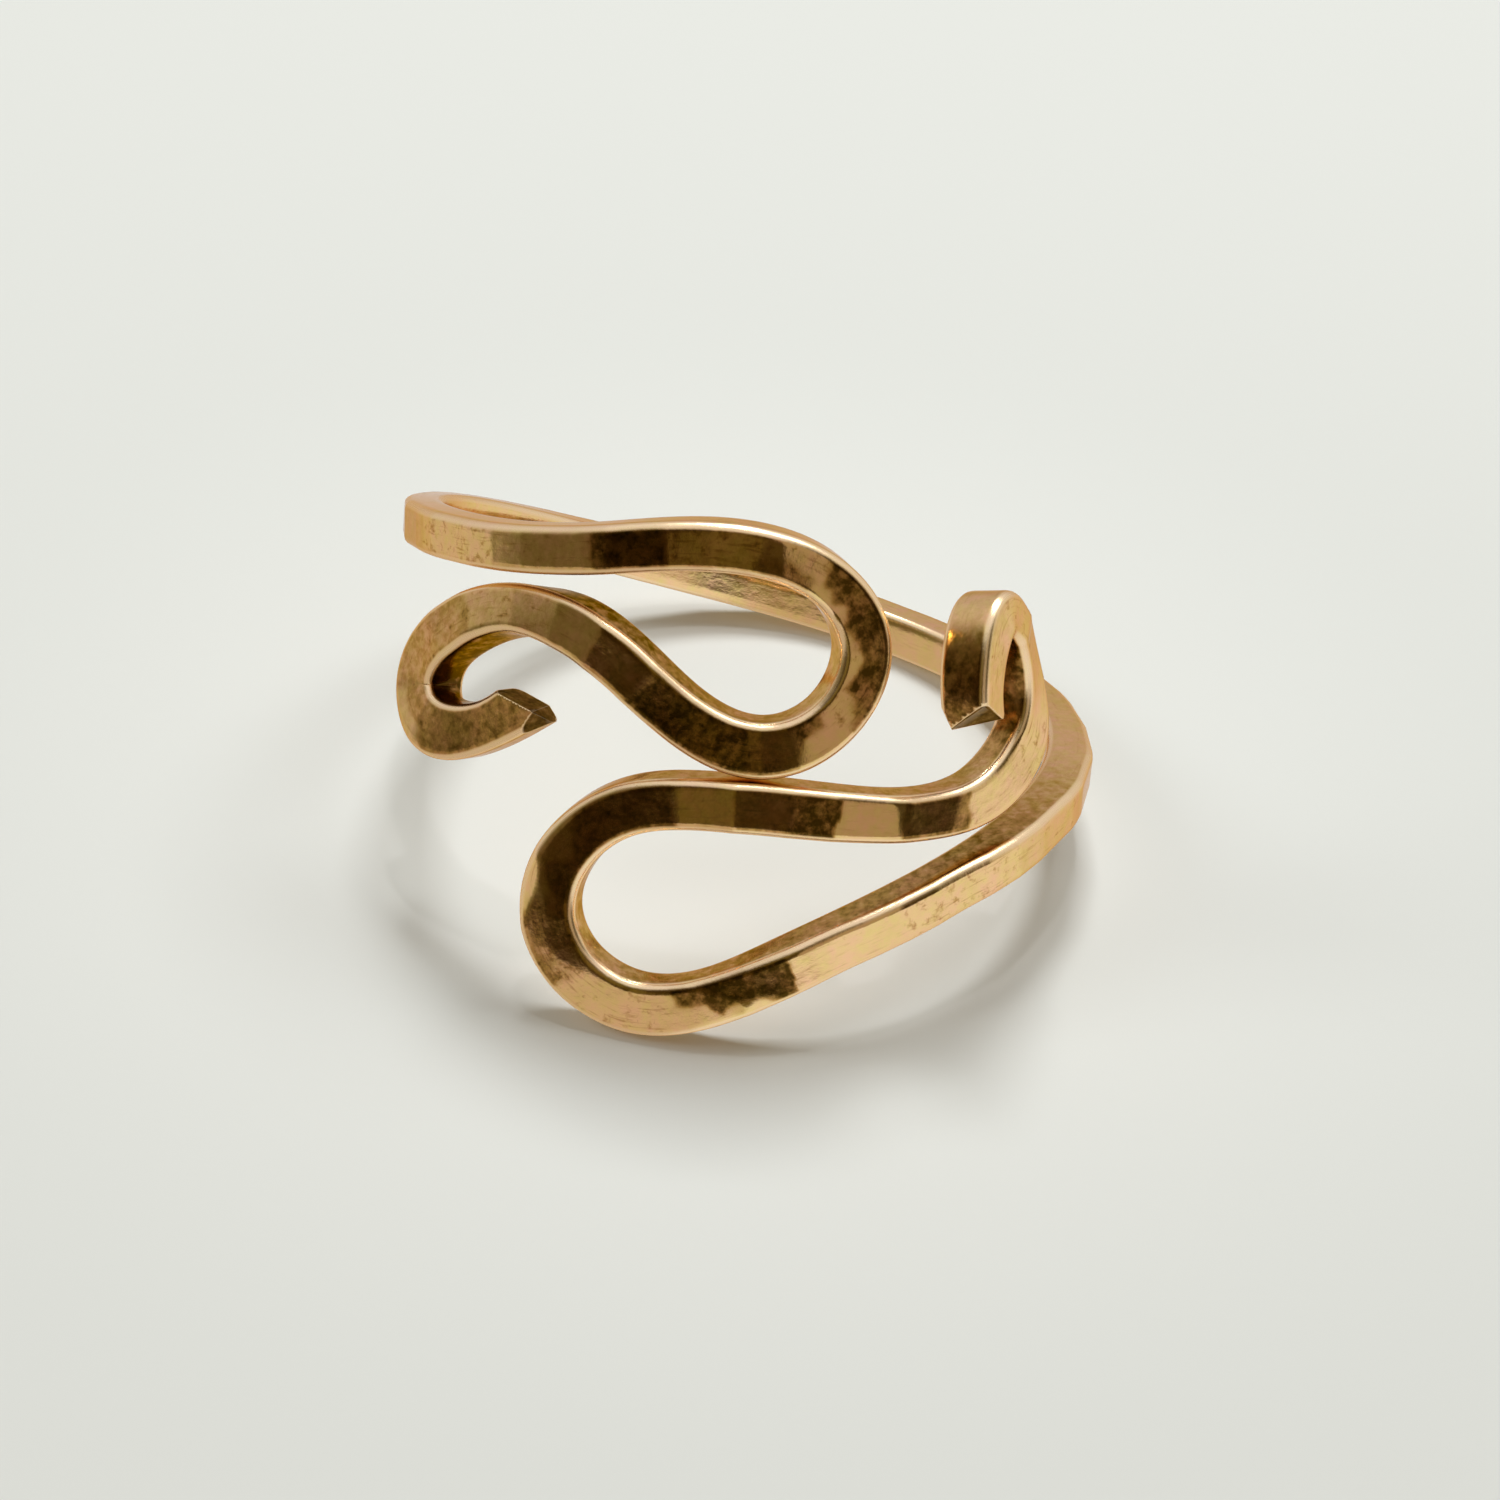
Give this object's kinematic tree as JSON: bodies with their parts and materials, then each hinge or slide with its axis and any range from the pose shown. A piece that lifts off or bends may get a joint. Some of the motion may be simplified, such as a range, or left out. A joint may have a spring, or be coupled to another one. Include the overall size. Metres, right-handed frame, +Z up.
{
  "type": "finger ring",
  "caption": "Open finger ring of square hammered wire in a flat serpentine, with loops that meet at the front and small open curls that end in nipped tips.",
  "frame": {"origin": "on the floor under the middle of the bounding box, with the ring lying as it comes to rest", "axes": "+Z up from the floor, -Y towards the front, where the loops meet, +X to the right as seen from the front"},
  "size_m": [0.0204, 0.0214, 0.0141],
  "materials": {
    "bronze": "hammered and polished, with darker hollows"
  },
  "bodies": {
    "root": {"ring_wire": "bronze"}
  },
  "joints": []
}
